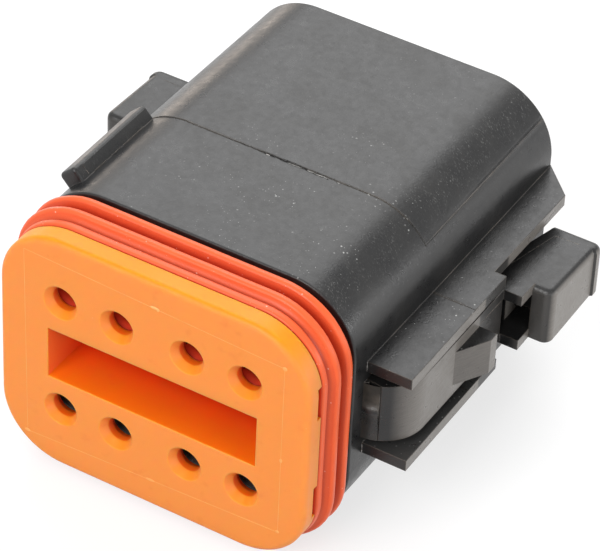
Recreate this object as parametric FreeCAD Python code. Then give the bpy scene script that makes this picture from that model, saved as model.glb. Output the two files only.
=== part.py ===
import FreeCAD, Part
import math
import os

# Sealed eight-way plug: black moulded housing with a spring latch on each side,
# an orange wedge lock in the mating face, a ribbed silicone seal behind it,
# a silicone wire seal in the rear pocket and eight socket contacts with hoods.
# Millimetres. +Z is up, +X is to the right latch, the mating face looks along -Y.
# The shapes are worked out with the mating face at y = 0 and the body's middle
# at z = 0, then moved so that the origin lies under the middle of the plug, level
# with the lowest point, which is the crest of the seal.

# Housing body
overall_length = 37.3
body_width = 28.2
body_height = 22.9
corner_radius = 5.8
body_front = 6.1
parting_line = 17.9
rear_draft_x = 0.10
rear_draft_z = 0.20
rim_round = 0.15
front_round = 0.2
seam_width = 0.14
seam_height = 0.04
seam_level = 8.77

# Front seal on the nose of the housing
seal_base = 1.1
rib_height = 0.75
rib_overhang = 0.42
front_rib_drop = 0.08
lip_drop = 0.55
rib_pitch = 1.7
rib_flank = 0.62
lip_gap = 1.2
seal_play = 0.05

# Wedge lock
plate_inset_x = 0.25
plate_inset_z = 0.33
plate_radius_less = 0.2
plate_thick = 1.75
plate_round = 0.5
pocket_width = 18.8
pocket_height = 4.8
pocket_depth = 15.0
box_wall = 0.8
box_floor = 1.2
box_lead = 0.6
box_play = 0.1
plate_play = 0.05
land_width = 2.0
land_length = 4.5
land_height = 0.75
notch_middle = 4.9
notch_length = 3.0
notch_depth = 0.5
notch_in = 0.45

# Pin entries: two rows of four, a wide gap in the middle of each row
inner_pin_x = 3.14
outer_pin_x = 8.24
pin_row_z = 5.325
entry_radius = 1.08
entry_rim_radius = 1.53
entry_rim_depth = 0.65
entry_throat = 0.65
entry_relief_radius = 1.34

# Contacts
contact_front = 3.0
pin_bore_radius = 0.80
tine_wall = 0.12
tine_relief = 0.05
tine_length = 7.2
tine_slot = 0.25
hood_wall = 0.26
hood_lip = 0.14
hood_lip_length = 0.35
hood_length = 9.9
collar_radius = 1.55
collar_length = 1.2
barrel_radius = 1.28
barrel_length = 8.3
wire_bore_radius = 0.87
wire_bore_depth = 6.4
sight_hole_radius = 0.35
hood_play = 0.14
collar_play = 0.13

# Locking fingers between the contact cavities and the middle slot
finger_width = 1.8
finger_length = 6.4
finger_slit = 0.3
finger_play = 0.04
window_width = 2.4
window_length = 5.0

# Rear pocket and wire seal
pocket_wall = 1.7
pocket_front = 23.2
rim_lip = 0.35
wire_seal_length = 12.9
wire_seal_play = 0.02
wire_rib_height = 0.45
wire_rib_length = 1.5
wire_rib_pitch = 4.2
wire_hole_radius = 1.25
wire_lip_radius = 0.75
wire_lip_length = 1.6
wire_lip_pitch = 4.4

# Guide rails above and below the right latch
rail_gap = 7.12
rail_thick = 1.0
rail_reach = 3.9
rail_tail_reach = 2.75
rail_front = 8.0
rail_step = 22.8
rail_step_low = 22.4
rail_tail = 34.4
rail_draft = 0.12

# Latches
arm_gap = 1.7
arm_thick = 1.75
arm_height = 5.4
bend_front = 7.65
bend_centre_y = 11.25
root_angle = 15.0
root_radius = 0.7
root_play = 0.05
neck_angle = 25.0
foot = 0.3
foot_wall = 0.2
barb_front = 15.7
barb_crest = 18.5
barb_back = 19.5
barb_height = 3.3
barb_reach = 1.6
window_front = 23.2
window_back = 25.0
window_height = 3.5
shelf_front = 23.3
pad_front = 25.0
pad_back = 33.3
pad_reach = 3.43
pad_round = 0.8
pad_top_round = 0.6
pad_low_round = 0.2
pad_rear_round = 0.8
pad_taper = 0.4
pad_lip = 0.2
pad_lip_front = 31.95
pad_lip_rise = 0.15
pad_slant_start = 28.0
pad_slant = 1.15
pad_core_depth = 2.4
pad_core_wall = 1.2

# Key rib on the upper left corner
key_angle = 133.0
key_width = 1.88
key_height = 1.25
key_round = 0.35
key_end_round = 0.3
key_front = 7.9

# Worked-out places
body_side = body_width / 2
nose_width = body_width + 2 * (rib_overhang - rib_height - seal_base)
nose_height = body_height + 2 * (rib_overhang - rib_height - seal_base)
nose_radius = corner_radius + rib_overhang - rib_height - seal_base
nose_front = plate_thick + plate_play
plate_width = body_width - 2 * plate_inset_x
plate_height = body_height - 2 * plate_inset_z
plate_radius = corner_radius - plate_radius_less
box_width = pocket_width + 2 * box_wall
box_height = pocket_height + 2 * box_wall
box_back = pocket_depth + box_floor
slot_width = box_width + 2 * box_play
slot_height = box_height + 2 * box_play
hood_bore_radius = pin_bore_radius + tine_wall
hood_radius = hood_bore_radius + hood_wall
collar_front = contact_front + hood_length
collar_back = collar_front + collar_length
contact_back = collar_back + barrel_length
cavity_front_radius = hood_radius + hood_play
cavity_rear_radius = collar_radius + collar_play
finger_front = collar_back + finger_play
slot_back = finger_front + finger_length
wire_seal_front = pocket_front + wire_seal_play
wire_seal_back = wire_seal_front + wire_seal_length
pocket_inner_width = body_width - 2 * pocket_wall
pocket_inner_height = body_height - 2 * pocket_wall
pocket_radius = corner_radius - pocket_wall
arm_inner = body_side + arm_gap
arm_outer = arm_inner + arm_thick
bend_outer_radius = bend_centre_y - bend_front
bend_inner_radius = bend_outer_radius - arm_thick
bend_centre_x = arm_outer - bend_outer_radius
root_reach = bend_inner_radius + root_radius
root_x = bend_centre_x + root_reach * math.sin(math.radians(root_angle))
root_y = bend_centre_y - root_reach * math.cos(math.radians(root_angle))
pad_outer = arm_outer + pad_reach
underside = -body_height / 2 - rib_overhang
pin_places = [(sx * x, sz * pin_row_z) for sz in (1, -1)
              for sx, x in ((-1, outer_pin_x), (-1, inner_pin_x), (1, inner_pin_x), (1, outer_pin_x))]


def at(x, y, z=0.0):
    return FreeCAD.Vector(x, y, z)


def box(x0, x1, y0, y1, z0, z1):
    """A block between two x, two y and two z values."""
    return Part.makeBox(x1 - x0, y1 - y0, z1 - z0, at(x0, y0, z0))


def rod(radius, y0, y1, x=0.0, z=0.0):
    """A round bar along the plug's long axis."""
    return Part.makeCylinder(radius, y1 - y0, at(x, y0, z), at(0, 1, 0))


def rounded_rect(width, height, radius, y):
    """Outline across the plug: four sides and four round corners."""
    a = width / 2 - radius
    b = height / 2 - radius
    edges = []
    for turn, (cx, cz) in enumerate(((a, b), (-a, b), (-a, -b), (a, -b))):
        points = []
        for step in (0, 45, 90):
            angle = math.radians(90 * turn + step)
            points.append(at(cx + radius * math.cos(angle), y, cz + radius * math.sin(angle)))
        edges.append(Part.Arc(*points).toShape())
        following = ((-a, b), (-a, -b), (a, -b), (a, b))[turn]
        angle = math.radians(90 * turn + 90)
        end = at(following[0] + radius * math.cos(angle), y, following[1] + radius * math.sin(angle))
        edges.append(Part.makeLine(points[2], end))
    return Part.Wire(edges)


def slab(width, height, radius, y0, y1):
    """A block with round corners between two planes across the plug."""
    face = Part.Face(rounded_rect(width, height, radius, y0))
    return face.extrude(at(0, y1 - y0, 0))


def outline(steps):
    """Closed wire from a start point, then ("line", end) and ("arc", middle, end) steps."""
    here = steps[0]
    edges = []
    for step in steps[1:]:
        if step[0] == "line":
            edges.append(Part.makeLine(here, step[1]))
        else:
            edges.append(Part.Arc(here, step[1], step[2]).toShape())
        here = step[-1]
    if here.distanceToPoint(steps[0]) > 1e-7:
        edges.append(Part.makeLine(here, steps[0]))
    return Part.Wire(edges)


def plan_prism(steps, height):
    """A plan outline, drawn at z = 0, raised equally above and below."""
    face = Part.Face(outline(steps))
    face.translate(at(0, 0, -height / 2))
    return face.extrude(at(0, 0, height))


def on_circle(cx, cy, radius, degrees):
    angle = math.radians(degrees)
    return at(cx + radius * math.cos(angle), cy + radius * math.sin(angle))


def ring_around(width, height, radius, profile):
    """Sweep a profile round a rounded rectangle: four straight runs and four turned corners.

    The profile is a list of steps with x as the distance out from the outline and y along
    the plug, and the outline is the one with the given width, height and corner radius.
    """
    a = width / 2 - radius
    b = height / 2 - radius
    pieces = []
    for turn, (cx, cz, run) in enumerate(((a, b, 2 * a), (-a, b, 2 * b), (-a, -b, 2 * a), (a, -b, 2 * b))):
        face = Part.Face(outline(profile))
        face.translate(at(radius, 0, 0))
        corner = face.revolve(at(0, 0, 0), at(0, -1, 0), 90)
        straight = face.copy()
        straight.rotate(at(0, 0, 0), at(0, -1, 0), 90)
        straight = straight.extrude(at(-run, 0, 0))
        for piece in (corner, straight):
            piece.rotate(at(0, 0, 0), at(0, -1, 0), 90 * turn)
            piece.translate(at(cx, 0, cz))
            pieces.append(piece)
    return pieces[0].multiFuse(pieces[1:]).removeSplitter()


def turned(profile, x, z):
    """A solid turned about the axis of one contact; the profile's x is the radius."""
    solid = Part.Face(outline(profile)).revolve(at(0, 0, 0), at(0, 1, 0), 360)
    solid.translate(at(x, 0, z))
    return solid


def edges_where(shape, test):
    return [edge for edge in shape.Edges if test(edge)]


def lies_at(edge, axis, value):
    """True for an edge that lies in the plane where the axis has this value."""
    low = getattr(edge.BoundBox, axis + "Min")
    high = getattr(edge.BoundBox, axis + "Max")
    return abs(low - value) < 1e-4 and abs(high - value) < 1e-4


def body_shell():
    """The moulded body: straight to the parting line, then drafted to the rear rim."""
    sections = [
        rounded_rect(body_width, body_height, corner_radius, body_front),
        rounded_rect(body_width, body_height, corner_radius, parting_line),
        rounded_rect(body_width - 2 * rear_draft_x, body_height - 2 * rear_draft_z,
                     corner_radius, overall_length),
    ]
    shell = Part.makeLoft(sections, True, True)
    shell = shell.makeFillet(rim_round, edges_where(shell, lambda e: lies_at(e, "Y", overall_length)))
    return shell.makeFillet(front_round, edges_where(shell, lambda e: lies_at(e, "Y", body_front)))


def corner_reach(half_width, half_height):
    """How far out the round corner of the body stands at the level of the side seam."""
    drop = seam_level - half_height + corner_radius
    return half_width - corner_radius + math.sqrt(corner_radius ** 2 - drop ** 2)


def seam():
    """The fine ridge where the mould halves met: round the corners, across the rails, back along the right."""
    front = parting_line - seam_width / 2
    across = slab(body_width + 2 * seam_height, body_height + 2 * seam_height,
                  corner_radius + seam_height, front, front + seam_width)
    across = across.cut(box(-body_width, body_width, front - 1, front + seam_width + 1,
                            -seam_level + seam_width / 2, seam_level - seam_width / 2))
    back = overall_length - rim_round
    root = body_side - corner_radius
    near = corner_reach(body_side, body_height / 2) + seam_height
    far = corner_reach(body_side - rear_draft_x, body_height / 2 - rear_draft_z) + seam_height
    rail_face = rail_gap / 2 + rail_thick
    pieces = [across]
    for row in (1, -1):
        face = Part.Face(Part.makePolygon([
            at(root, front), at(near, front), at(near, parting_line), at(far, back), at(root, back),
            at(root, front)]))
        face.translate(at(0, 0, row * seam_level - seam_width / 2))
        pieces.append(face.extrude(at(0, 0, seam_width)))
        low, high = sorted((row * (rail_face - seam_height), row * (rail_face + seam_height)))
        pieces.append(box(body_side - seam_width, body_side + rail_tail_reach, front, front + seam_width,
                          low, high))
    return pieces


def guide_rail(row):
    """A flat rail beside the right latch: wide up to its step, then narrow, with a slanted tail."""
    root = body_side - 1.0
    wide = body_side + rail_reach
    narrow = body_side + rail_tail_reach
    tail_end = rail_tail + rail_tail_reach + 1.0
    step = rail_step if row > 0 else rail_step_low
    face = Part.Face(outline([
        at(root, rail_front),
        ("line", at(wide, rail_front)),
        ("line", at(wide - rail_draft, step)),
        ("line", at(narrow, step)),
        ("line", at(narrow, rail_tail)),
        ("line", at(root, tail_end)),
    ]))
    face.translate(at(0, 0, rail_gap / 2))
    rail = face.extrude(at(0, 0, rail_thick))
    return rail if row > 0 else rail.mirror(at(0, 0, 0), at(0, 0, 1))


def latch_foot(side):
    """The raised foot that the latch root grows from, with its hollow round seat."""
    reach = body_side + foot
    seat = root_radius + root_play
    half = math.sqrt(seat ** 2 - (root_x - reach) ** 2)
    front = root_y - half - foot_wall
    back = root_y + half + foot_wall
    turn = foot * (1 - math.sqrt(0.5))
    solid = plan_prism([
        at(body_side - 0.5, front - foot),
        ("line", at(body_side, front - foot)),
        ("arc", at(body_side + turn, front - turn), at(reach, front)),
        ("line", at(reach, back)),
        ("arc", at(body_side + turn, back + turn), at(body_side, back + foot)),
        ("line", at(body_side - 0.5, back + foot)),
    ], arm_height)
    return solid if side > 0 else solid.mirror(at(0, 0, 0), at(1, 0, 0))


def latch_seat(side):
    seat = Part.makeCylinder(root_radius + root_play, arm_height + 2 * root_play,
                             at(side * root_x, root_y, -arm_height / 2 - root_play))
    return seat


def key_rib():
    """The rib on the upper left corner that lets the plug go in only one way up."""
    cx = body_side - corner_radius
    cz = body_height / 2 - corner_radius
    half = key_width / 2
    top = corner_radius + key_height
    bend = key_round * (1 - math.sqrt(0.5))
    face = Part.Face(outline([
        at(corner_radius - 1.0, 0, -half),
        ("line", at(top - key_round, 0, -half)),
        ("arc", at(top - bend, 0, -half + bend), at(top, 0, -half + key_round)),
        ("line", at(top, 0, half - key_round)),
        ("arc", at(top - bend, 0, half - bend), at(top - key_round, 0, half)),
        ("line", at(corner_radius - 1.0, 0, half)),
    ]))
    rib = face.extrude(at(0, parting_line - key_front, 0))
    rib = rib.makeFillet(key_end_round, edges_where(rib, lambda e: e.BoundBox.XMin > top - key_round - 1e-4
                                                    and e.BoundBox.YLength < 1e-4))
    rib.rotate(at(0, 0, 0), at(0, -1, 0), key_angle)
    rib.translate(at(-cx, key_front, cz))
    return rib


def locking_fingers():
    """Slits to cut and tongues to add for the eight fingers that hold the contacts."""
    slits = []
    tongues = []
    slot_side = slot_height / 2
    top = pin_row_z - barrel_radius - finger_play
    for x, z in pin_places:
        up = 1 if z > 0 else -1
        low, high = sorted((up * slot_side, up * top))
        slit_low, slit_high = sorted((up * (slot_side - 0.1), up * (top + 0.3)))
        half = finger_width / 2
        slits.append(box(x - half - finger_slit, x + half + finger_slit, collar_front + 0.3,
                         finger_front + finger_length, slit_low, slit_high))
        tongues.append(box(x - half, x + half, finger_front,
                           finger_front + finger_length + 0.3, low, high))
        slits.append(box(x - window_width / 2, x + window_width / 2, nose_front - 0.1,
                         nose_front + window_length, *sorted((up * (slot_side - 0.1), up * pin_row_z))))
    return slits, tongues


def housing():
    """Body, nose, rails, latch feet and key rib in one moulding, then all its hollows."""
    outside = [slab(nose_width, nose_height, nose_radius, nose_front, body_front + 1.0), key_rib()]
    outside += seam()
    for side in (1, -1):
        outside.append(latch_foot(side))
    for row in (1, -1):
        outside.append(guide_rail(row))
    solid = body_shell().multiFuse(outside)
    trim = box(-3 * body_width, 3 * body_width, overall_length, overall_length + body_width,
               -body_height, body_height)
    hollows = [trim, box(-slot_width / 2, slot_width / 2, nose_front - 1, slot_back,
                         -slot_height / 2, slot_height / 2)]
    mouth_back = overall_length + 1
    hollows.append(slab(pocket_inner_width, pocket_inner_height, pocket_radius,
                        pocket_front, wire_seal_back + wire_seal_play))
    hollows.append(slab(pocket_inner_width - 2 * rim_lip, pocket_inner_height - 2 * rim_lip,
                        pocket_radius - rim_lip, pocket_front, mouth_back))
    for x, z in pin_places:
        hollows.append(rod(cavity_front_radius, nose_front - 1, collar_front + 0.5, x, z))
        hollows.append(rod(cavity_rear_radius, collar_front, pocket_front + 0.5, x, z))
    for side in (1, -1):
        hollows.append(latch_seat(side))
    slits, tongues = locking_fingers()
    solid = solid.cut(hollows + slits)
    return solid.multiFuse(tongues).removeSplitter()


def latch(side):
    """Spring latch: round root, U-bend, flat arm with a barb, window and thumb pad."""
    tangent = 270 + root_angle
    neck = 270 + neck_angle
    outer_start = on_circle(bend_centre_x, bend_centre_y, bend_outer_radius, neck)
    outer_middle = on_circle(bend_centre_x, bend_centre_y, bend_outer_radius, (neck + 360) / 2)
    inner_middle = on_circle(bend_centre_x, bend_centre_y, bend_inner_radius, (tangent + 360) / 2)
    inner_end = on_circle(bend_centre_x, bend_centre_y, bend_inner_radius, tangent)
    root_back = on_circle(root_x, root_y, root_radius, 180 + root_angle)
    root_front = on_circle(root_x, root_y, root_radius, tangent)
    crest = pad_outer + pad_lip
    shelf = arm_outer + barb_reach
    bend = pad_round * (1 - math.sqrt(0.5))
    rear_bend = pad_rear_round * (1 - math.sqrt(0.5))
    solid = plan_prism([
        outer_start,
        ("arc", outer_middle, at(arm_outer, bend_centre_y)),
        ("line", at(arm_outer, shelf_front)),
        ("line", at(shelf, shelf_front)),
        ("line", at(shelf, pad_front)),
        ("line", at(pad_outer - pad_round, pad_front)),
        ("arc", at(pad_outer - bend, pad_front + bend), at(pad_outer, pad_front + pad_round)),
        ("line", at(pad_outer, pad_lip_front)),
        ("line", at(crest, pad_lip_front + pad_lip_rise)),
        ("line", at(crest, pad_back - pad_rear_round)),
        ("arc", at(crest - rear_bend, pad_back - rear_bend), at(crest - pad_rear_round, pad_back)),
        ("line", at(arm_inner + pad_slant, pad_back)),
        ("line", at(arm_inner, pad_slant_start)),
        ("line", at(arm_inner, bend_centre_y)),
        ("arc", inner_middle, inner_end),
        ("arc", root_back, root_front),
    ], arm_height)
    level = arm_height / 2
    slope = Part.Face(Part.makePolygon([at(arm_inner - 1, shelf_front, level),
                                        at(arm_inner - 1, pad_back, level),
                                        at(arm_inner - 1, pad_back, level - pad_taper),
                                        at(arm_inner - 1, shelf_front, level)]))
    slope = slope.extrude(at(crest + 2 - arm_inner, 0, 0))
    solid = solid.cut([slope, slope.mirror(at(0, 0, 0), at(0, 0, 1))])
    for radius, row in ((pad_top_round, 1), (pad_low_round, -1)):
        solid = solid.makeFillet(radius, edges_where(solid, lambda e: e.BoundBox.ZLength < level
                                                     and row * e.BoundBox.Center.z > level / 2
                                                     and e.BoundBox.XMax > shelf + 1e-4
                                                     and e.BoundBox.YMin > pad_front - 1e-4))
    barb = plan_prism([
        at(arm_outer - 0.5, barb_front),
        ("line", at(arm_outer, barb_front)),
        ("line", at(shelf, barb_crest)),
        ("line", at(shelf, barb_back)),
        ("line", at(arm_outer - 0.5, barb_back)),
    ], barb_height)
    half = window_height / 2
    window = box(arm_inner - 1, shelf + 1, window_front, window_back, -half, half)
    core = box(arm_inner + pad_core_wall, shelf, pad_front - 0.1, pad_front + pad_core_depth, -half, half)
    solid = solid.fuse(barb).removeSplitter().cut(window).cut(core).removeSplitter()
    return solid if side > 0 else solid.mirror(at(0, 0, 0), at(1, 0, 0))


def wedge_lock():
    """Face plate with eight lead-in holes and the hollow box that backs the fingers."""
    plate = slab(plate_width, plate_height, plate_radius, 0, plate_thick)
    plate = plate.makeFillet(plate_round, edges_where(plate, lambda e: lies_at(e, "Y", 0)))
    tongue = box(-box_width / 2, box_width / 2, plate_thick / 2, box_back, -box_height / 2, box_height / 2)
    tongue = tongue.makeChamfer(box_lead, edges_where(tongue, lambda e: lies_at(e, "Y", box_back)))
    hollows = [box(-pocket_width / 2, pocket_width / 2, -1, pocket_depth,
                   -pocket_height / 2, pocket_height / 2)]
    throat_back = entry_rim_depth + entry_throat
    lands = []
    for x, z in pin_places:
        low, high = sorted((math.copysign(pocket_height / 2 + box_wall / 2, z),
                            math.copysign(box_height / 2 + land_height, z)))
        lands.append(box(x - land_width / 2, x + land_width / 2, plate_thick / 2,
                         plate_thick + land_length, low, high))
        hollows.append(rod(entry_radius, -1, plate_thick + 1, x, z))
        hollows.append(rod(entry_relief_radius, throat_back, plate_thick, x, z))
        hollows.append(Part.makeCone(entry_rim_radius, entry_radius, entry_rim_depth,
                                     at(x, 0, z), at(0, 1, 0)))
    for side in (1, -1):
        for row in (1, -1):
            x0, x1 = sorted((side * (plate_width / 2 - notch_in), side * (plate_width / 2 + 1)))
            middle = row * notch_middle
            hollows.append(box(x0, x1, plate_thick - notch_depth, plate_thick + 1,
                               middle - notch_length / 2, middle + notch_length / 2))
    return plate.multiFuse([tongue] + lands).cut(hollows).removeSplitter()


def front_seal():
    """Silicone ring on the nose: a small front lip and two tall round ribs."""
    front = nose_front
    back = body_front - seal_play
    rear_rib = body_front - 1.0
    front_rib = rear_rib - rib_pitch
    lip = front_rib - lip_gap
    crest = rib_overhang
    valley = crest - rib_height
    inner = valley - seal_base
    flank = rib_flank
    middle_y = (rear_rib + front_rib) / 2
    return ring_around(body_width, body_height, corner_radius, [
        at(inner, front),
        ("line", at(crest - lip_drop - 0.2, front)),
        ("arc", at(crest - lip_drop, lip), at(crest - lip_drop - 0.2, lip + 0.3)),
        ("line", at(valley, front_rib - flank)),
        ("line", at(crest - front_rib_drop - 0.15, front_rib - 0.3)),
        ("arc", at(crest - front_rib_drop, front_rib), at(crest - front_rib_drop - 0.15, front_rib + 0.3)),
        ("line", at(valley + 0.05, middle_y - 0.12)),
        ("arc", at(valley, middle_y), at(valley + 0.05, middle_y + 0.12)),
        ("line", at(crest - 0.15, rear_rib - 0.3)),
        ("arc", at(crest, rear_rib), at(crest - 0.15, rear_rib + 0.3)),
        ("line", at(valley, back)),
        ("line", at(inner, back)),
    ])


def wire_seal():
    """Silicone block in the rear pocket: ribs round its edge, two lips in each wire hole."""
    rib_width = pocket_inner_width - 2 * wire_seal_play
    rib_height_out = pocket_inner_height - 2 * wire_seal_play
    core_width = rib_width - 2 * wire_rib_height
    core_height = rib_height_out - 2 * wire_rib_height
    core_radius = pocket_radius - wire_seal_play - wire_rib_height
    solid = slab(core_width, core_height, core_radius, wire_seal_front, wire_seal_back)
    middle = (wire_seal_front + wire_seal_back) / 2
    ribs = []
    for place in (-1, 0, 1):
        y = middle + place * wire_rib_pitch
        ribs += [ring_around(core_width, core_height, core_radius, [
            at(-1.0, y - wire_rib_length / 2),
            ("line", at(0, y - wire_rib_length / 2)),
            ("arc", at(wire_rib_height, y), at(0, y + wire_rib_length / 2)),
            ("line", at(-1.0, y + wire_rib_length / 2)),
        ])]
    solid = solid.multiFuse(ribs)
    holes = []
    for x, z in pin_places:
        steps = [at(0, wire_seal_front - 1), ("line", at(wire_hole_radius, wire_seal_front - 1))]
        for place in (-0.5, 0.5):
            y = middle + place * wire_lip_pitch
            steps.append(("line", at(wire_hole_radius, y - wire_lip_length / 2)))
            steps.append(("line", at(wire_lip_radius, y)))
            steps.append(("line", at(wire_hole_radius, y + wire_lip_length / 2)))
        steps.append(("line", at(wire_hole_radius, wire_seal_back + 1)))
        steps.append(("line", at(0, wire_seal_back + 1)))
        holes.append(turned(steps, x, z))
    return solid.cut(holes).removeSplitter()


def contact(x, z):
    """Socket contact: split tines, collar, crimp barrel with its wire bore and sight hole."""
    tine_front = contact_front + hood_lip_length
    tine_back = tine_front + tine_length
    tine_radius = hood_bore_radius - tine_relief
    bore_back = tine_back + 0.6
    barrel_bore_front = contact_back - wire_bore_depth
    solid = turned([
        at(pin_bore_radius, tine_front),
        ("line", at(tine_radius, tine_front)),
        ("line", at(tine_radius, tine_back)),
        ("line", at(hood_bore_radius, tine_back)),
        ("line", at(hood_bore_radius, collar_front)),
        ("line", at(collar_radius, collar_front)),
        ("line", at(collar_radius, collar_back)),
        ("line", at(barrel_radius, collar_back)),
        ("line", at(barrel_radius, contact_back)),
        ("line", at(wire_bore_radius, contact_back)),
        ("line", at(wire_bore_radius, barrel_bore_front)),
        ("line", at(0, barrel_bore_front)),
        ("line", at(0, bore_back)),
        ("line", at(pin_bore_radius, bore_back)),
    ], x, z)
    slot = box(x - tine_slot / 2, x + tine_slot / 2, tine_front - 1, tine_back - 0.3,
               z - collar_radius, z + collar_radius)
    sight = Part.makeCylinder(sight_hole_radius, 2 * barrel_radius,
                              at(x, barrel_bore_front + 2 * sight_hole_radius, z))
    return solid.cut([slot, sight]).removeSplitter()


def contact_hood(x, z):
    """Steel hood pressed over the tines, its front edge turned in to guide the pin."""
    return turned([
        at(hood_bore_radius - hood_lip, contact_front),
        ("line", at(hood_radius - 0.1, contact_front)),
        ("line", at(hood_radius, contact_front + 0.2)),
        ("line", at(hood_radius, collar_front)),
        ("line", at(hood_bore_radius, collar_front)),
        ("line", at(hood_bore_radius, contact_front + hood_lip_length)),
        ("line", at(hood_bore_radius - hood_lip, contact_front + hood_lip_length)),
    ], x, z)


def save(shape, name):
    """Move a finished piece into the plug's own frame and write it."""
    placed = shape.copy()
    placed.translate(at(0, -overall_length / 2, -underside))
    solids = placed.Solids
    placed = solids[0] if len(solids) == 1 else Part.makeCompound(solids)
    placed.exportStep(os.path.join("parts", name + ".step"))


os.makedirs("parts", exist_ok=True)
save(housing(), "housing")
save(latch(1), "latch_right")
save(latch(-1), "latch_left")
save(wedge_lock(), "wedge_lock")
save(front_seal(), "front_seal")
save(wire_seal(), "wire_seal")
for number, (pin_x, pin_z) in enumerate(pin_places, 1):
    save(contact(pin_x, pin_z), "contact_" + str(number))
    save(contact_hood(pin_x, pin_z), "contact_hood_" + str(number))
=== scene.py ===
import math
import random

import bmesh
import bpy
from mathutils import Matrix, Vector
from mathutils.noise import fractal


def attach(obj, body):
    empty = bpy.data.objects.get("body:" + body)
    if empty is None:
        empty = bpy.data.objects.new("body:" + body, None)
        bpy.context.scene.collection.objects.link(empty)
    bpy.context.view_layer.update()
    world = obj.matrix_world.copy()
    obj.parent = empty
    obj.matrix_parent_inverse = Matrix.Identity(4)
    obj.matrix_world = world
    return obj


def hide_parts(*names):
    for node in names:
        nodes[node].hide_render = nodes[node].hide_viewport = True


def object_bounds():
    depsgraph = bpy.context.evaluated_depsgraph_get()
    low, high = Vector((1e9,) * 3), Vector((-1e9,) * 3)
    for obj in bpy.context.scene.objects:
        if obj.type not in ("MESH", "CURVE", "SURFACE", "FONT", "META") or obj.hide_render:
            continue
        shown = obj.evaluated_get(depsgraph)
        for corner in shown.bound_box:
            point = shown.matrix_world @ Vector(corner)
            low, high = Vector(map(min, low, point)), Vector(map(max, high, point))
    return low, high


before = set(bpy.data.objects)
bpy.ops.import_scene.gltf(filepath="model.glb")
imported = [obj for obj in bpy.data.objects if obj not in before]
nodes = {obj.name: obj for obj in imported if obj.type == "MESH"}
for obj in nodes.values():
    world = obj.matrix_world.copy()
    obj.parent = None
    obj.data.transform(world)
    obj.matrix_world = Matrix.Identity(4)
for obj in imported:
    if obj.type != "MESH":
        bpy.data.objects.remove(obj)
cad_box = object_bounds()

# Camera: stands a little to the right of the mating face and looks down on it,
# with the long lens and the slight roll of the photograph.
target = Vector((0.001575, 0.000575, 0.011461))
camera_place = Vector((0.11034, -0.191505, 0.190521))
camera_lens = 215.25
camera_roll = math.radians(2.894)
camera_data = bpy.data.cameras.new("camera")
camera_data.lens = camera_lens
camera_data.sensor_width = 36.0
camera_data.sensor_fit = "HORIZONTAL"
camera_data.clip_start = 0.01
camera_data.clip_end = 10.0
camera = bpy.data.objects.new("camera", camera_data)
camera.location = camera_place
towards = (target - camera_place).to_track_quat("-Z", "Y")
camera.rotation_mode = "QUATERNION"
camera.rotation_quaternion = towards @ Matrix.Rotation(camera_roll, 3, "Z").to_quaternion()
bpy.context.scene.collection.objects.link(camera)
bpy.context.scene.camera = camera
bpy.context.scene.view_settings.view_transform = "Standard"


# Studio: a pale table, a white surround and five soft lamps: high behind the plug for the
# sheen on its top, low behind its left and right for the bright edges, on its right and in front.
table_grey = (0.36, 0.36, 0.36, 1.0)
studio_white = (1.0, 1.0, 1.0, 1.0)
table_glow = 0.68
table_half_width = 3.0
table_drop = 0.00002
surround_light = 0.5
surround_seen = 1.0


def add_node(tree, kind, inputs=None, **settings):
    """A shader node with its settings; an input is a value or another node's output."""
    made = tree.nodes.new("ShaderNode" + kind)
    for name, value in settings.items():
        setattr(made, name, value)
    for socket, value in (inputs or {}).items():
        if isinstance(value, bpy.types.NodeSocket):
            tree.links.new(value, made.inputs[socket])
        else:
            made.inputs[socket].default_value = value
    return made


def calculate(tree, operation, first, second=0.0):
    """A math node's result; an operation on one number ignores the second."""
    return add_node(tree, "Math", {0: first, 1: second}, operation=operation).outputs[0]


def new_material(name):
    """An empty node material, its tree and its output node."""
    material = bpy.data.materials.new(name)
    material.use_nodes = True
    material.node_tree.nodes.clear()
    output = material.node_tree.nodes.new("ShaderNodeOutputMaterial")
    return material, material.node_tree, output


def seen_directly(tree):
    """1 for rays that show the studio itself: to the camera, in a gloss or through glass."""
    path = add_node(tree, "LightPath").outputs
    gloss = calculate(tree, "MAXIMUM", path["Is Camera Ray"], path["Is Glossy Ray"])
    return calculate(tree, "MAXIMUM", gloss, path["Is Transmission Ray"])


table_white, tree, output = new_material("table_white")
paper = add_node(tree, "BsdfDiffuse", {"Color": table_grey})
glow_level = calculate(tree, "MULTIPLY", seen_directly(tree), table_glow)
glow = add_node(tree, "Emission", {"Color": studio_white, "Strength": glow_level})
table_sum = add_node(tree, "AddShader", {0: paper.outputs[0], 1: glow.outputs[0]})
tree.links.new(table_sum.outputs[0], output.inputs["Surface"])

table_mesh = bmesh.new()
bmesh.ops.create_grid(table_mesh, x_segments=1, y_segments=1, size=table_half_width)
bmesh.ops.translate(table_mesh, verts=table_mesh.verts, vec=(0.0, 0.0, -table_drop))
table_data = bpy.data.meshes.new("table")
table_mesh.to_mesh(table_data)
table_mesh.free()
table = bpy.data.objects.new("table", table_data)
table.data.materials.append(table_white)
bpy.context.scene.collection.objects.link(table)

world = bpy.data.worlds.new("surround")
world.use_nodes = True
bpy.context.scene.world = world
tree = world.node_tree
tree.nodes.clear()
world_level = add_node(tree, "MapRange", {"Value": seen_directly(tree), "To Min": surround_light,
                                          "To Max": surround_seen})
surround = add_node(tree, "Background", {"Color": studio_white, "Strength": world_level.outputs[0]})
add_node(tree, "OutputWorld", {"Surface": surround.outputs[0]})


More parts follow.
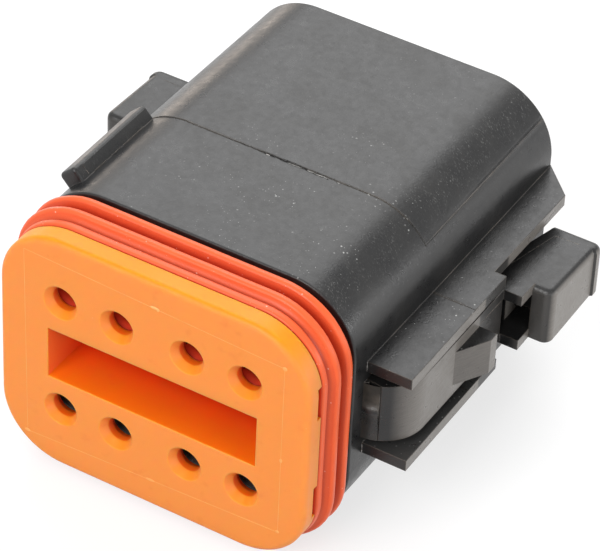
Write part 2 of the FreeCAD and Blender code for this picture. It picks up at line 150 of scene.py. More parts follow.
def soft_lamp(name, direction, distance, size, watts, tint=(1.0, 1.0, 1.0)):
    """A square lamp that faces the plug from the given direction."""
    data = bpy.data.lights.new(name, "AREA")
    data.shape = "SQUARE"
    data.size = size
    data.energy = watts
    data.color = tint
    lamp = bpy.data.objects.new(name, data)
    lamp.location = target + Vector(direction).normalized() * distance
    lamp.rotation_mode = "QUATERNION"
    lamp.rotation_quaternion = (target - lamp.location).to_track_quat("-Z", "Y")
    bpy.context.scene.collection.objects.link(lamp)


soft_lamp("lamp_behind", (-0.295, 0.60, 0.76), distance=0.7, size=0.57, watts=2.9)
soft_lamp("lamp_rim", (-0.76, 0.64, 0.07), distance=0.7, size=0.22, watts=0.44, tint=(1.0, 0.84, 0.70))
soft_lamp("lamp_right", (0.86, 0.52, 0.09), distance=0.6, size=0.13, watts=0.5)
soft_lamp("lamp_side", (0.93, -0.25, 0.30), distance=0.6, size=0.35, watts=1.1)
soft_lamp("lamp_front", (-0.10, -0.80, 0.60), distance=0.7, size=0.4, watts=3.3)


# Housing: the black moulded body with its nose, guide rails, latch feet and key rib,
# in glass-filled nylon. It is satin, dusty and a little scuffed where it was handled;
# the outermost faces of its rails and latches are painted pale as painted light.
MM = 1000.0
# Places are in millimetres: X right of the middle, Y behind the mating face, Z above mid height.
FACE = round(cad_box[0][1] * MM, 2)
MID_HEIGHT = round((cad_box[0][2] + cad_box[1][2]) * MM / 2, 2)
PARTING = 17.86
# Painted light: faces further out than this, in mm, are painted pale.
LIT_AND_RUBBED_FROM = 15.6
BARB_BACK = 19.5
WINDOW_BACK = 25.05
ARM_OUTSIDE = 18.0
PAD_INSIDE = 18.6
PAD_OUTSIDE = 20.8
LEDGE_HEIGHT = -2.87
DUST_LEFT = -9.0
DUST_RIGHT = 5.0
DUST_FRONT = 17.65
DUST_BACK = 26.65
KEY_RIB_X = -10.5
KEY_RIB_Z = 7.03
KEY_RIB_FRONT = 8.90
KEY_RIB_BACK = 17.90
KEY_RIB_CREST = 22.63
CORE_HALF_WIDTH = 11.0
CORE_HALF_HEIGHT = 8.0
nylon_black = (0.010, 0.010, 0.0105, 1.0)
nylon_cloud = (0.017, 0.0165, 0.016, 1.0)
nylon_pit = (0.004, 0.004, 0.004, 1.0)
dust_white = (0.62, 0.62, 0.60, 1.0)
worn_brown = (0.17, 0.14, 0.11, 1.0)
# Painted light: the pale grey painted on the outermost faces.
lit_and_handled_grey = (0.212, 0.194, 0.176, 1.0)
# Painted highlight: the brown painted on the key rib's crest.
rib_highlight_brown = (0.088, 0.061, 0.043, 1.0)
grain_size = 0.15
mottle_size = 0.6
cloud_size = 3.5
rub_along = (0.0, 1.0, 0.12)
rub_across = (0.0, -0.12, 1.0)
scuff_along = (0.755, -0.391, -0.525)
scuff_across = (0.321, 0.920, -0.223)


def in_millimetres(tree):
    """Object coordinates in millimetres."""
    place = add_node(tree, "TexCoord").outputs["Object"]
    return add_node(tree, "VectorMath", {0: place, 1: (MM, MM, MM)}, operation="MULTIPLY").outputs[0]


def on_plug(tree, place):
    """X, Y and Z of a place: right of the middle, behind the mating face, above mid height."""
    shifted = add_node(tree, "VectorMath", {0: place, 1: (0.0, FACE, MID_HEIGHT)}, operation="SUBTRACT")
    return add_node(tree, "SeparateXYZ", {0: shifted.outputs[0]}).outputs


def facing_of(tree):
    """X, Y and Z of the direction that a face points in."""
    return add_node(tree, "SeparateXYZ", {0: add_node(tree, "TexCoord").outputs["Normal"]}).outputs


def times(tree, *factors):
    """The product of numbers or outputs."""
    product = factors[0]
    for factor in factors[1:]:
        product = calculate(tree, "MULTIPLY", product, factor)
    return product


def plus(tree, first, second):
    return calculate(tree, "ADD", first, second)


def larger(tree, first, second):
    return calculate(tree, "MAXIMUM", first, second)


def without_sign(tree, value):
    return calculate(tree, "ABSOLUTE", value)


def ramp(tree, value, low, high, to_low=0.0, to_high=1.0):
    """The value stretched from low..high to to_low..to_high, without going beyond."""
    return add_node(tree, "MapRange", {"Value": value, "From Min": low, "From Max": high,
                                       "To Min": to_low, "To Max": to_high}).outputs[0]


def within(tree, value, limit, border=0.2):
    """1 where a value is between -limit and limit, with a soft border inside."""
    return ramp(tree, without_sign(tree, value), limit, limit - border)


def mix(tree, share, first, second):
    """The first colour with the given share of the second."""
    return add_node(tree, "MixRGB", {0: share, 1: first, 2: second}).outputs[0]


def noise(tree, place, size, detail=3.0, roughness=0.5):
    """Noise whose grains are about the given size in millimetres."""
    return add_node(tree, "TexNoise", {"Vector": place, "Scale": 1.0 / size, "Detail": detail,
                                       "Roughness": roughness}).outputs["Fac"]


def specks(tree, place, spacing, radius, share):
    """Small round specks: one in each cell of the given spacing, in that share of the cells."""
    cells = add_node(tree, "TexVoronoi", {"Vector": place, "Scale": 1.0 / spacing, "Randomness": 1.0})
    near = ramp(tree, cells.outputs["Distance"], radius / spacing, 0.4 * radius / spacing)
    pick = add_node(tree, "SeparateColor", {"Color": cells.outputs["Color"]}).outputs
    chosen = calculate(tree, "LESS_THAN", pick[0], share)
    return times(tree, near, chosen, ramp(tree, pick[1], 0.0, 1.0, 0.35, 1.0))


def streaks(tree, place, along, across, length, width, depth=0.5):
    """Noise drawn out in one direction: fine lines of about the given length and width."""
    deep = Vector(along).cross(Vector(across))
    drawn = []
    for direction, size in ((along, length), (across, width), (deep, depth)):
        step = tuple(Vector(direction).normalized() / size)
        dot = add_node(tree, "VectorMath", {0: place, 1: step}, operation="DOT_PRODUCT")
        drawn.append(dot.outputs["Value"])
    lines = add_node(tree, "CombineXYZ", {0: drawn[0], 1: drawn[1], 2: drawn[2]})
    return noise(tree, lines.outputs[0], 1.0, detail=2.0, roughness=0.6)


def edge_of(tree, radius):
    """1 near an edge of the piece and 0 on its faces, and the normal softened over that radius in mm."""
    soft = add_node(tree, "Bevel", {"Radius": radius / MM}, samples=6).outputs[0]
    face = add_node(tree, "NewGeometry").outputs["Normal"]
    turn = add_node(tree, "VectorMath", {0: soft, 1: face}, operation="DOT_PRODUCT")
    return ramp(tree, turn.outputs["Value"], 0.995, 0.90), soft


def bumped(tree, height, strength, normal=None, depth=0.02):
    """The normal of a face whose height varies by about the given depth in millimetres."""
    inputs = {"Height": height, "Strength": strength, "Distance": depth / MM}
    if normal is not None:
        inputs["Normal"] = normal
    return add_node(tree, "Bump", inputs).outputs[0]


def add_shader(tree, output, inputs):
    """The material's shader, with its values and outputs on its own sockets."""
    shader = add_node(tree, "BsdfPrincipled", inputs)
    tree.links.new(shader.outputs[0], output.inputs["Surface"])


def rubbed_share(tree, place, at, facing):
    """Painted light: the outermost faces of the rails and latches are painted pale, with fine rubbed lines
    along the plug;
    the pad's outer edge and front get a little more, and the arm behind the barb little, as painted shade.
    """
    distance = without_sign(tree, at["X"])
    lines = streaks(tree, place, rub_along, rub_across, length=2.4, width=0.09)
    # Painted shade: behind the barb the arm keeps little of the painted pale.
    behind_barb = times(tree, ramp(tree, at["Y"], BARB_BACK - 0.1, BARB_BACK + 0.1),
                        ramp(tree, at["Y"], WINDOW_BACK + 0.2, WINDOW_BACK - 0.2),
                        ramp(tree, distance, ARM_OUTSIDE + 0.1, ARM_OUTSIDE - 0.1))
    reached = times(tree, ramp(tree, distance, LIT_AND_RUBBED_FROM, LIT_AND_RUBBED_FROM + 0.8),
                    ramp(tree, behind_barb, 0.0, 1.0, 1.0, 0.12))
    lined = plus(tree, ramp(tree, lines, 0.30, 0.70, 0.70, 1.0),
                 ramp(tree, distance, PAD_OUTSIDE - 0.6, PAD_OUTSIDE, 0.0, 0.18))
    outward = ramp(tree, without_sign(tree, facing["X"]), 0.60, 0.99)
    # Painted light: the pad's front is painted a little lighter.
    pad_front = times(tree, ramp(tree, facing["Y"], -0.6, -0.95),
                      ramp(tree, distance, PAD_INSIDE, PAD_INSIDE + 0.3))
    return larger(tree, times(tree, outward, reached, lined), times(tree, pad_front, 0.16))


def dust_share(tree, place, at, facing, speck_share):
    """Dust lies in patches on the upper faces, more of it towards the right and the front."""
    upward = ramp(tree, facing["Z"], 0.3, 0.9)
    patch = ramp(tree, noise(tree, place, 3.2, detail=2.0), 0.44, 0.60)
    to_right = ramp(tree, at["X"], DUST_LEFT, DUST_RIGHT, 0.15, 1.0)
    to_front = ramp(tree, at["Y"], DUST_BACK, DUST_FRONT, 0.25, 1.0)
    where = times(tree, upward, patch, to_right, to_front)
    dust = larger(tree, specks(tree, place, spacing=0.70, radius=0.095, share=speck_share),
                  specks(tree, place, spacing=0.30, radius=0.050, share=0.9 * speck_share))
    low_ledge = times(tree, ramp(tree, facing["Z"], 0.8, 0.95),
                      ramp(tree, at["Z"], LEDGE_HEIGHT, LEDGE_HEIGHT - 0.2))
    ledge_dust = ramp(tree, specks(tree, place, spacing=0.42, radius=0.075, share=0.5), 0.0, 1.0, 0.06, 0.60)
    return larger(tree, times(tree, dust, larger(tree, where, 0.07)), times(tree, low_ledge, ledge_dust))


def scuff_share(tree, place, facing):
    """Scuffs are short hairlines that run round the upper right shoulder, slanted to the front."""
    hair = streaks(tree, place, scuff_along, scuff_across, length=0.27, width=0.06)
    shoulder = times(tree, ramp(tree, facing["X"], 0.22, 0.42), ramp(tree, facing["X"], 0.84, 0.66),
                     ramp(tree, facing["Z"], 0.3, 0.5))
    along = ramp(tree, noise(tree, place, 2.6, detail=2.0), 0.40, 0.60, 0.25, 1.0)
    return times(tree, ramp(tree, hair, 0.60, 0.74), shoulder, along)


def key_rib_marks(tree, place, at, facing, colour, height):
    """The colour and height with the key rib's marks: flanks coarse from the mould,
    the crest painted brown as a painted highlight from the light behind on the left.
    """
    on_rib = times(tree, ramp(tree, at["X"], KEY_RIB_X, KEY_RIB_X - 0.5),
                   ramp(tree, at["Z"], KEY_RIB_Z, KEY_RIB_Z + 0.8),
                   ramp(tree, at["Y"], KEY_RIB_FRONT, KEY_RIB_FRONT + 0.15),
                   ramp(tree, at["Y"], KEY_RIB_BACK, KEY_RIB_BACK - 0.1))
    flank = times(tree, on_rib, ramp(tree, facing["X"], 0.5, 0.62))
    coarse = noise(tree, place, 0.24, roughness=0.75)
    pits = times(tree, flank, ramp(tree, coarse, 0.62, 0.40, 0.0, 0.35))
    # Painted highlight: the crest's face towards the upper left is painted brown, for the light from behind
    # on the left.
    leaning = times(tree, ramp(tree, facing["X"], -0.50, -0.62), ramp(tree, facing["X"], -0.80, -0.74))
    up_left = calculate(tree, "SUBTRACT", at["Z"], at["X"])
    outer = ramp(tree, up_left, KEY_RIB_CREST, KEY_RIB_CREST + 0.3)
    crest = times(tree, on_rib, leaning, outer, 0.85)
    marked = mix(tree, crest, mix(tree, pits, colour, nylon_pit), rib_highlight_brown)
    return marked, plus(tree, height, times(tree, coarse, flank, 6.0))


def black_moulding(name, speck_share, with_key_rib=False):
    """Satin black nylon with moulded grain, faint clouds, dust specks, scuffs and worn edges,
    with painted light on the outermost faces and a painted highlight on the key rib's crest.
    """
    material, tree, output = new_material(name)
    place = in_millimetres(tree)
    at = on_plug(tree, place)
    facing = facing_of(tree)
    edge, soft_normal = edge_of(tree, 0.13)
    cloud = noise(tree, place, cloud_size, detail=4.0, roughness=0.6)
    mottle = noise(tree, place, mottle_size, roughness=0.6)
    grain = noise(tree, place, grain_size, detail=2.0)
    tone = mix(tree, ramp(tree, cloud, 0.35, 0.65), nylon_black, nylon_cloud)
    # Painted light: the outermost faces are painted pale grey.
    handled_and_lit = mix(tree, rubbed_share(tree, place, at, facing), tone, lit_and_handled_grey)
    worn = mix(tree, times(tree, edge, ramp(tree, cloud, 0.4, 0.6, 0.10, 0.50)), handled_and_lit, worn_brown)
    marks = larger(tree, times(tree, dust_share(tree, place, at, facing, speck_share), 0.8),
                   times(tree, scuff_share(tree, place, facing), 0.26))
    colour = mix(tree, marks, worn, dust_white)
    height = plus(tree, grain, times(tree, mottle, 2.2))
    if with_key_rib:
        colour, height = key_rib_marks(tree, place, at, facing, colour, height)
    # The cavities inside are left matt by the core pins.
    core = times(tree, within(tree, at["X"], CORE_HALF_WIDTH), within(tree, at["Z"], CORE_HALF_HEIGHT))
    add_shader(tree, output, {
        "Base Color": colour, "Roughness": ramp(tree, plus(tree, cloud, mottle), 0.75, 1.25, 0.26, 0.40),
        "Normal": bumped(tree, height, 0.35, soft_normal),
        "Specular IOR Level": ramp(tree, core, 0.0, 1.0, 0.5, 0.10), "IOR": 1.45})
    return material


def finish_with(node, material):
    """The CAD piece keeps its shape and takes this finish."""
    piece = nodes[node]
    piece.data.materials.clear()
    piece.data.materials.append(material)


housing_black = black_moulding("housing_black", 0.7, with_key_rib=True)
finish_with("housing", housing_black)


# Flash on the housing: fine fins of nylon left where the mould halves met, some of them pale,
# over the seam on top, on the corners, across the rails, on the key rib and at the rail roots.
TOP = 11.45
CORNER_X = 8.3
CORNER_Z = 5.65
CORNER_RADIUS = TOP - CORNER_Z
FIN_SUNK = 0.015
SEAM_WIDTH = 0.13
SEAM_WANDER = 0.025
SEAM_HEIGHT = 0.075
RAIL_ROOT_X = 14.12
RAIL_FRONT = 7.98
RAIL_TOPS = (4.56, -3.56)
RIB_LEAN = math.radians(43.0)
RIB_HALF_WIDTH = 0.94
RIB_ROOT = 5.78
upward = Vector((0.0, 0.0, 1.0))
chance = random.Random(8)


def from_face(x, y, z):
    """A place in metres from its distances in mm: right of the middle, behind the face, above mid height."""
    return Vector((x, y + FACE, z + MID_HEIGHT)) / MM


def ridge(mesh, points, out, width, heights):
    """A closed fin in mm: a small triangle, its base sunk in the surface, drawn from point to point."""
    cap, before = None, None
    for index, point in enumerate(points):
        ahead = Vector(points[min(index + 1, len(points) - 1)]) - Vector(points[max(index - 1, 0)])
        up = Vector(out[index]) if isinstance(out, list) else Vector(out)
        aside = ahead.cross(up).normalized() * width / 2
        sunk = Vector(point) - up * FIN_SUNK
        crest = Vector(point) + up * (heights[index] if isinstance(heights, list) else heights)
        corners = [from_face(*place) for place in (sunk - aside, crest, sunk + aside)]
        if cap is None:
            cap = mesh.faces.new([mesh.verts.new(corner) for corner in corners])
        else:
            grown = bmesh.ops.extrude_face_region(mesh, geom=[cap])["geom"]
            cap = next(item for item in grown if isinstance(item, bmesh.types.BMFace))
            for vert in cap.verts:
                vert.co = corners[min(range(3), key=lambda side: (vert.co - before[side]).length)]
        before = corners


def add_piece(name, mesh, material, body):
    """A piece made here, which moves with the given body and takes the given material."""
    bmesh.ops.recalc_face_normals(mesh, faces=mesh.faces)
    data = bpy.data.meshes.new(name)
    mesh.to_mesh(data)
    mesh.free()
    data.materials.append(material)
    piece = bpy.data.objects.new(name, data)
    bpy.context.scene.collection.objects.link(piece)
    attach(piece, body)
    return piece


def tinted(colour, red, green, blue):
    """The colour with these shares of its red, green and blue."""
    return (colour[0] * red, colour[1] * green, colour[2] * blue, 1.0)


def worn_nylon(name, colour):
    """Nylon of one tone with a fine mottle."""
    material, tree, output = new_material(name)
    place = in_millimetres(tree)
    mottle = ramp(tree, noise(tree, place, 0.35), 0.35, 0.6)
    add_shader(tree, output, {
        "Base Color": mix(tree, mottle, colour, tinted(colour, 0.3, 0.3, 0.3)), "Roughness": 0.5,
        "Normal": bumped(tree, noise(tree, place, 0.1), 0.3, depth=0.01)})
    return material


flash_pale = worn_nylon("flash_pale", (0.60, 0.585, 0.56, 1.0))
flash_brown = worn_nylon("flash_brown", (0.22, 0.19, 0.16, 1.0))

seam_step = bmesh.new()
crossing = [-CORNER_X + 0.25 * step for step in range(67)]
line = [(x, PARTING - 0.03 + chance.uniform(-SEAM_WANDER, SEAM_WANDER) + (0.05 if x > 3.0 else 0.0), TOP)
        for x in crossing]
thick = [SEAM_HEIGHT * (1.0 + math.exp(-((x - 1.0) / 3.0) ** 2)) * chance.uniform(0.7, 1.1) for x in crossing]
ridge(seam_step, line, upward, SEAM_WIDTH, thick)
for side, steps in ((1, 15), (-1, 8)):
    angles = [math.radians(4.0 * step) for step in range(steps)]
    outward = [(side * math.sin(angle), 0.0, math.cos(angle)) for angle in angles]
    line = [(side * CORNER_X + CORNER_RADIUS * right, PARTING, CORNER_Z + CORNER_RADIUS * up)
            for right, _, up in outward]
    ridge(seam_step, line, outward, SEAM_WIDTH, 0.07)
for level in RAIL_TOPS:
    ridge(seam_step, [(14.2, PARTING, level), (17.9, PARTING, level)], upward, 0.12, 0.05)
add_piece("seam_step", seam_step, housing_black, "plug_body")

seam_flecks = bmesh.new()
for start, end, height in ((-1.1, -0.8, 0.03), (0.9, 2.1, 0.06), (2.6, 4.5, 0.08), (5.2, 5.5, 0.04)):
    steps = max(3, int((end - start) / 0.2))
    line = [(start + (end - start) * step / steps, PARTING - 0.14 + chance.uniform(-0.03, 0.03), TOP)
            for step in range(steps + 1)]
    ridge(seam_flecks, line, (0.0, -0.5, 0.87), 0.10, [height * chance.uniform(0.4, 1.2) for _ in line])
add_piece("seam_flecks", seam_flecks, flash_pale, "plug_body")

rail_flash = bmesh.new()
for low, high in ((3.75, 4.5), (-4.5, -3.7)):
    line = [(RAIL_ROOT_X, RAIL_FRONT, low), (RAIL_ROOT_X, RAIL_FRONT - 0.01, high)]
    ridge(rail_flash, line, (0.35, -0.94, 0.0), 0.06, 0.05)
add_piece("rail_flash", rail_flash, flash_pale, "plug_body")

key_fins = bmesh.new()
rib_out = Vector((-math.sin(RIB_LEAN), 0.0, math.cos(RIB_LEAN)))
rib_side = Vector((math.cos(RIB_LEAN), 0.0, math.sin(RIB_LEAN)))
rib_foot = Vector((-CORNER_X, 0.0, CORNER_Z)) + rib_side * RIB_HALF_WIDTH
for start, end in (((5.9, KEY_RIB_FRONT), (6.25, KEY_RIB_FRONT)),
                   ((6.35, KEY_RIB_FRONT), (6.7, KEY_RIB_FRONT)),
                   ((RIB_ROOT, 9.6), (RIB_ROOT, 11.3)), ((RIB_ROOT, 11.9), (RIB_ROOT, 13.2)),
                   ((RIB_ROOT, 13.5), (RIB_ROOT, 16.4))):
    line = [rib_foot + rib_out * out + Vector((0.0, behind, 0.0)) for out, behind in (start, end)]
    ridge(key_fins, line, rib_side, 0.05, 0.03)
add_piece("key_fins", key_fins, flash_brown, "plug_body")


# Latches: one spring arm on each side with its barb and thumb pad, moulded in one with the body.
# A thin web carries the skin of the foot over the root of the arm, and faint lines from the
# mould border the top of each pad and the arm behind the barb.
BEND_X = 13.95
BEND_Y = 11.25
WEB_RADIUS = 3.63
WEB_START = math.radians(-1.0)
WEB_TURN = math.radians(25.0)
HALF_ARM = 2.70
SHEET_WALL = 0.03
latch_black = black_moulding("latch_black", 0.35)


def spun_sheet(mesh, first, second, middle, axis, angle, steps):
    """A curved sheet: the line between two places, turned about an axis."""
    ends = [mesh.verts.new(first), mesh.verts.new(second)]
    line = mesh.edges.new(ends)
    bmesh.ops.spin(mesh, geom=ends + [line], cent=middle, axis=axis, angle=angle, steps=steps)


def smooth_faces(mesh):
    for face in mesh.faces:
        face.smooth = True


def thicken(mesh, wall):
    """Gives the sheets of a mesh their wall in mm."""
    bmesh.ops.recalc_face_normals(mesh, faces=mesh.faces)
    bmesh.ops.solidify(mesh, geom=list(mesh.faces), thickness=wall / MM)
    smooth_faces(mesh)


for side, hand in ((1, "right"), (-1, "left")):
    finish_with("latch_" + hand, latch_black)
    web = bmesh.new()
    web_x = side * (BEND_X + WEB_RADIUS * math.sin(WEB_START))
    web_y = BEND_Y - WEB_RADIUS * math.cos(WEB_START)
    spun_sheet(web, from_face(web_x, web_y, -HALF_ARM), from_face(web_x, web_y, HALF_ARM),
               from_face(side * BEND_X, BEND_Y, 0.0), (0.0, 0.0, side), WEB_TURN, 14)
    thicken(web, SHEET_WALL)
    add_piece("root_web_" + hand, web, latch_black, "plug_body")
    lines = bmesh.new()
    pad_side = [(side * 16.35, 26.6, 2.56), (side * 17.45, 31.9, 2.35)]
    pad_rear = [(side * 17.45, 31.9, 2.35), (side * 18.4, 31.95, 2.35), (side * 19.6, 32.0, 2.35)]
    arm_edge = [(side * 17.55, 19.65, 1.78), (side * 17.55, 23.1, 1.82)]
    ridge(lines, pad_side, upward, 0.07, 0.015)
    ridge(lines, pad_rear, upward, 0.07, 0.025)
    ridge(lines, arm_edge, (side, 0.0, 0.0), 0.06, 0.03)
    add_piece("pad_lines_" + hand, lines, flash_brown, hand + "_latch")


# Wedge lock: the orange plate in the mating face with the hollow box behind it,
# moulded in smooth polyester. Its hollows are painted a deeper red, as painted shade and painted light
# bouncing between walls.
POCKET_HALF_WIDTH = 9.6
POCKET_TOP = 2.6
POCKET_BOTTOM = -2.67
POCKET_DEEP = 5.05
polyester_face = (1.0, 0.305, 0.060, 1.0)
# Painted light: the more saturated orange painted on faces turned upwards.
polyester_top_lit = (1.0, 0.300, 0.004, 1.0)
# Painted shade: the deep red painted in the pocket and other hollows.
polyester_shaded_deep = (0.93, 0.060, 0.008, 1.0)
# Painted highlight: the lighter orange painted on edges.
polyester_edge_highlight = (1.0, 0.38, 0.05, 1.0)
polyester_stain = (0.80, 0.17, 0.03, 1.0)
polyester_dust = (1.0, 0.66, 0.40, 1.0)
hollow_reach = 5.5


def openness(tree, reach):
    """1 on open faces, less in hollows narrower than the reach in millimetres."""
    return add_node(tree, "AmbientOcclusion", {"Distance": reach / MM}, samples=8).outputs["AO"]


def orange_moulding(name):
    """Smooth orange polyester, its top painted more saturated as painted light, its edges painted lighter as
    painted highlight and its hollows painted deep red as painted shade.
    """
    material, tree, output = new_material(name)
    place = in_millimetres(tree)
    at = on_plug(tree, place)
    edge, soft_normal = edge_of(tree, 0.18)
    cloud = noise(tree, place, 6.0, roughness=0.55)
    # Painted light: faces turned upwards are painted a more saturated orange.
    tone = mix(tree, ramp(tree, facing_of(tree)["Z"], 0.35, 0.85), polyester_face, polyester_top_lit)
    # Painted highlight: edges are painted a lighter orange.
    lit_edge = mix(tree, times(tree, edge, 0.6), tone, polyester_edge_highlight)
    stain = times(tree, ramp(tree, noise(tree, place, 1.4), 0.62, 0.80), 0.3)
    spotted = mix(tree, stain, lit_edge, polyester_stain)
    pale = times(tree, specks(tree, place, spacing=1.9, radius=0.07, share=0.22), 0.5)
    dusty = mix(tree, pale, spotted, polyester_dust)
    # Painted shade: the pocket is painted deeper red towards its back and at its front lip, and closed-in
    # hollows deep red.
    in_pocket = times(tree, within(tree, at["X"], POCKET_HALF_WIDTH, border=0.1),
                      ramp(tree, at["Z"], POCKET_TOP, POCKET_TOP - 0.1),
                      ramp(tree, at["Z"], POCKET_BOTTOM, POCKET_BOTTOM + 0.1))
    depth = times(tree, in_pocket, ramp(tree, at["Y"], 0.0, POCKET_DEEP, 0.0, 0.62))
    lip = times(tree, in_pocket, ramp(tree, at["Y"], 0.02, 0.15, 0.0, 0.36))
    closed = ramp(tree, openness(tree, hollow_reach), 0.60, 0.08, 0.0, 0.9)
    colour = mix(tree, larger(tree, closed, plus(tree, depth, lip)), dusty, polyester_shaded_deep)
    height = plus(tree, times(tree, noise(tree, place, 0.12, detail=2.0), 0.25),
                  times(tree, noise(tree, place, 2.2, detail=2.0), 1.2))
    add_shader(tree, output, {
        "Base Color": colour, "Roughness": ramp(tree, cloud, 0.3, 0.7, 0.40, 0.48),
        "Normal": bumped(tree, height, 0.25, soft_normal), "Specular IOR Level": 0.28, "IOR": 1.5,
        "Subsurface Weight": 0.65, "Subsurface Radius": (1.0, 0.28, 0.06), "Subsurface Scale": 0.0018})
    return material


wedge_orange = orange_moulding("wedge_orange")
finish_with("wedge_lock", wedge_orange)


# Witness marks on the plate: the fine outline of the mould insert and its gate stubs,
# raised a few hundredths of a millimetre and a little paler than the face.
STUB_HEIGHT = 0.05
mark_light = (1.0, 0.50, 0.17, 1.0)
mark_deep = (1.0, 0.40, 0.11, 1.0)


def mottled_moulding(name, size, first, second, specular, roughness):
    """Polyester in a mottle of two close tones, as rough as the two given values and between them."""
    material, tree, output = new_material(name)
    mottle = noise(tree, in_millimetres(tree), size, detail=2.0)
    add_shader(tree, output, {
        "Base Color": mix(tree, ramp(tree, mottle, 0.35, 0.65), first, second),
        "Specular IOR Level": specular, "Roughness": ramp(tree, mottle, 0.3, 0.7, *roughness)})
    return material


mark_orange = mottled_moulding("mark_orange", 1.5, mark_deep, mark_light, 0.3, (0.40, 0.55))
witness = bmesh.new()
insert = [(-11.54, 9.22), (11.59, 8.32), (11.62, -7.98), (-11.35, -8.95)]
for (x0, z0), (x1, z1) in zip(insert, insert[1:] + insert[:1]):
    ridge(witness, [(x0, 0.0, z0), (x1, 0.0, z1)], (0.0, -1.0, 0.0), 0.09, 0.011)
add_piece("insert_outline", witness, mark_orange, "wedge")

stubs = bmesh.new()
for x, z, wide, tall in ((0.25, 8.80, 0.42, 0.13), (0.52, 8.74, 0.12, 0.16), (0.10, -8.46, 0.40, 0.12),
                         (11.62, -0.7, 0.12, 0.20), (11.6, 8.3, 0.20, 0.17), (11.6, -7.95, 0.16, 0.13),
                         (-11.35, -8.92, 0.24, 0.14)):
    made = bmesh.ops.create_uvsphere(stubs, u_segments=16, v_segments=8, radius=1.0)
    bmesh.ops.scale(stubs, verts=made["verts"], vec=Vector((wide, STUB_HEIGHT, tall)) / MM)
    bmesh.ops.translate(stubs, verts=made["verts"], vec=from_face(x, 0.0, z))
smooth_faces(stubs)
add_piece("gate_stubs", stubs, mark_orange, "wedge")


# Sleeves behind the upper pin entries: thin troughs of the wedge's polyester below each entry,
# which steer the pins into the sockets. They are painted the dark red of the orange polyester in shadow,
# as painted shade, and only a glimpse of them shows through the holes.
ENTRIES_X = (-8.24, -3.14, 3.14, 8.24)
ENTRIES_Z = 5.325
SLEEVE_RADIUS = 1.32
SLEEVE_FRONT = 1.32
SLEEVE_LENGTH = 2.2
SLEEVE_START = math.radians(188.0)
SLEEVE_TURN = math.radians(144.0)
# Painted shade: the sleeves are coloured the dark red of orange polyester in shadow.
sleeve_shade_red = mottled_moulding("sleeve_shade_red", 0.8, (0.68, 0.048, 0.016, 1.0), (0.56, 0.038, 0.013, 1.0),
                              0.12, (0.50, 0.62))
sleeves = bmesh.new()
for x in ENTRIES_X:
    sleeve_x = x + SLEEVE_RADIUS * math.cos(SLEEVE_START)
    sleeve_z = ENTRIES_Z + SLEEVE_RADIUS * math.sin(SLEEVE_START)
    spun_sheet(sleeves, from_face(sleeve_x, SLEEVE_FRONT, sleeve_z),
               from_face(sleeve_x, SLEEVE_FRONT + SLEEVE_LENGTH, sleeve_z),
               from_face(x, 0.0, ENTRIES_Z), (0.0, -1.0, 0.0), SLEEVE_TURN, 24)
thicken(sleeves, SHEET_WALL)
add_piece("entry_sleeves", sleeves, sleeve_shade_red, "wedge")


# Front seal: a soft silicone ring on the nose of the housing, moulded with a low lip at
# the plate and two tall round ribs. It is oily, so dust sticks to it; its grooves are painted dark as painted
# shade.
SEAL_FRONT = 1.85
SEAL_BACK = 6.05
SEAL_INSIDE = -1.42
GROOVE_DEPTH = -0.78
SEAL_SWAY = 0.03
SWAY_SCALE = 420.0
MERGE_DISTANCE = 1e-6
STRAIGHT_STEPS = 6
CORNER_STEPS = 14
silicone_crest = (0.90, 0.135, 0.036, 1.0)
# Painted shade: the darker colour painted in the seal's grooves.
silicone_groove_shade = (0.50, 0.036, 0.012, 1.0)
silicone_dust = (0.95, 0.70, 0.58, 1.0)
groove_reach = 1.3


def silicone(name, crest, groove, speck_share):
    """Soft satin silicone with a few pale specks, its grooves and hollows painted darker as painted shade."""
    material, tree, output = new_material(name)
    place = in_millimetres(tree)
    cloud = noise(tree, place, 2.5, roughness=0.55)
    # Painted shade: grooves and hollows are painted towards the darker groove colour.
    open_face = ramp(tree, openness(tree, groove_reach), 0.38, 0.92)
    tone = mix(tree, times(tree, open_face, ramp(tree, cloud, 0.3, 0.7, 0.86, 1.0)), groove, crest)
    dust = larger(tree, specks(tree, place, spacing=0.9, radius=0.085, share=speck_share),
                  specks(tree, place, spacing=0.45, radius=0.045, share=speck_share))
    add_shader(tree, output, {
        "Base Color": mix(tree, times(tree, dust, 0.7), tone, silicone_dust),
        "Roughness": ramp(tree, cloud, 0.3, 0.7, 0.30, 0.40),
        "Normal": bumped(tree, noise(tree, place, 0.15, detail=2.0), 0.2),
        "Specular IOR Level": 0.35, "IOR": 1.45})
    return material


def round_off(mesh, corners, radius, segments):
    """Rounds the corners of a section that are still there, to about the radius in mm."""
    bmesh.ops.bevel(mesh, geom=[vert for vert in corners if vert.is_valid], offset=radius / MM,
                    segments=segments, profile=0.5, material=-1, affect="VERTICES")


seal_silicone = silicone("seal_silicone", silicone_crest, silicone_groove_shade, 0.55)
seal_profile = [(SEAL_FRONT, SEAL_INSIDE), (SEAL_FRONT, -0.50), (1.96, -0.23), (2.52, -0.17),
                (2.70, -0.50), (2.86, -0.66), (3.08, 0.35), (3.72, 0.33),
                (4.02, GROOVE_DEPTH), (4.28, GROOVE_DEPTH), (4.66, 0.40), (5.28, 0.38),
                (5.60, GROOVE_DEPTH), (SEAL_BACK, -0.85), (SEAL_BACK, SEAL_INSIDE)]
seal = bmesh.new()
section = seal.faces.new([seal.verts.new(from_face(-CORNER_X, y, TOP + out)) for y, out in seal_profile])
lip_limit = from_face(0.0, 2.6, TOP - 0.3)
lip = [vert for vert in section.verts if vert.co.z > lip_limit.z and vert.co.y < lip_limit.y]
crests = [vert for vert in section.verts if vert.co.z > from_face(0.0, 0.0, TOP + 0.2).z]
groove_level = from_face(0.0, 0.0, TOP + GROOVE_DEPTH).z
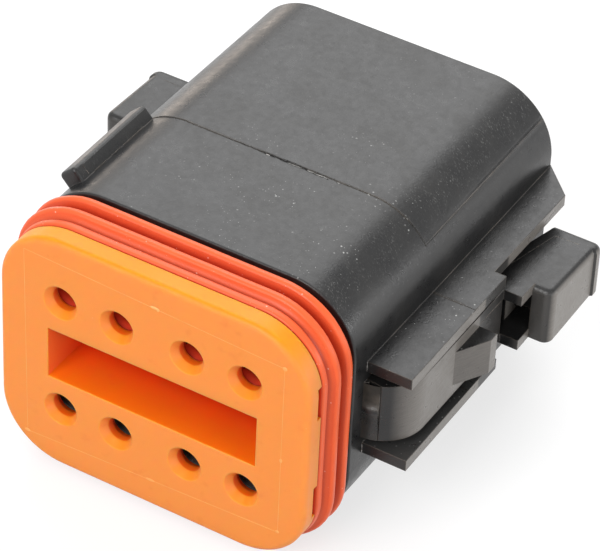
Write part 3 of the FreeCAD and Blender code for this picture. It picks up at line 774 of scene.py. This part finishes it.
grooves = [vert for vert in section.verts if abs(vert.co.z - groove_level) < MERGE_DISTANCE]
round_off(seal, crests, 0.26, 7)
round_off(seal, lip, 0.14, 5)
round_off(seal, grooves, 0.10, 3)
bmesh.ops.delete(seal, geom=list(seal.faces), context="FACES_ONLY")
loop = list(seal.edges)
runs = (((1, 0), 2 * CORNER_X, (CORNER_X, CORNER_Z)), ((0, -1), 2 * CORNER_Z, (CORNER_X, -CORNER_Z)),
        ((-1, 0), 2 * CORNER_X, (-CORNER_X, -CORNER_Z)), ((0, 1), 2 * CORNER_Z, (-CORNER_X, CORNER_Z)))
for (right, up), length, (corner_x, corner_z) in runs:
    step = Vector((right, 0.0, up)) * length / STRAIGHT_STEPS / MM
    for _ in range(STRAIGHT_STEPS):
        grown = bmesh.ops.extrude_edge_only(seal, edges=loop)["geom"]
        loop = [item for item in grown if isinstance(item, bmesh.types.BMEdge) and item.is_boundary]
        ends = [item for item in grown if isinstance(item, bmesh.types.BMVert)]
        bmesh.ops.translate(seal, verts=ends, vec=step)
    ends = list(dict.fromkeys(vert for edge in loop for vert in edge.verts))
    turned = bmesh.ops.spin(seal, geom=ends + loop, cent=from_face(corner_x, 0.0, corner_z),
                            axis=(0.0, 1.0, 0.0), angle=math.radians(90.0), steps=CORNER_STEPS)["geom_last"]
    loop = [item for item in turned if isinstance(item, bmesh.types.BMEdge)]
bmesh.ops.remove_doubles(seal, verts=seal.verts, dist=MERGE_DISTANCE)
for vert in seal.verts:
    away = Vector((vert.co.x, 0.0, vert.co.z - MID_HEIGHT / MM)).normalized()
    vert.co += away * fractal(vert.co * SWAY_SCALE, 1.0, 2.0, 2) * SEAL_SWAY / MM
smooth_faces(seal)
seal_ring = add_piece("seal_ring", seal, seal_silicone, "plug_body")
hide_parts("front_seal")


# Wire seal: the silicone block in the rear pocket, with a lipped hole for each wire.
# The same oily silicone as the front seal, seen only from behind.
wire_crest = (0.72, 0.115, 0.034, 1.0)
# Painted shade: the darker colour painted in the wire seal's grooves and hollows.
wire_groove_shade = (0.42, 0.040, 0.014, 1.0)
wire_seal_silicone = silicone("wire_seal_silicone", wire_crest, wire_groove_shade, 0.15)
finish_with("wire_seal", wire_seal_silicone)


# Contacts: eight turned sockets in nickel-plated brass, each with a drawn steel hood
# pressed over its tines. They are pushed in from the rear until the fingers catch.
brass = (0.70, 0.60, 0.42, 1.0)
steel = (0.62, 0.62, 0.63, 1.0)


def turned_metal(name, colour, ring_size, roughness):
    """Bare metal with fine rings round the axis from the lathe or the drawing die."""
    material, tree, output = new_material(name)
    place = in_millimetres(tree)
    stretched = add_node(tree, "Mapping", {"Vector": place, "Scale": (0.6, 1.0 / ring_size, 0.6)})
    rings = noise(tree, stretched.outputs[0], 1.0, detail=2.0)
    cloud = ramp(tree, noise(tree, place, 1.6), 0.3, 0.7)
    add_shader(tree, output, {
        "Base Color": mix(tree, cloud, colour, tinted(colour, 0.8, 0.78, 0.74)), "Metallic": 1.0,
        "Roughness": ramp(tree, rings, 0.3, 0.7, *roughness), "Normal": bumped(tree, rings, 0.25)})
    return material


socket_brass = turned_metal("socket_brass", brass, 0.08, (0.22, 0.34))
hood_steel = turned_metal("hood_steel", steel, 0.15, (0.20, 0.30))
for number in range(1, 9):
    finish_with("contact_" + str(number), socket_brass)
    finish_with("contact_hood_" + str(number), hood_steel)
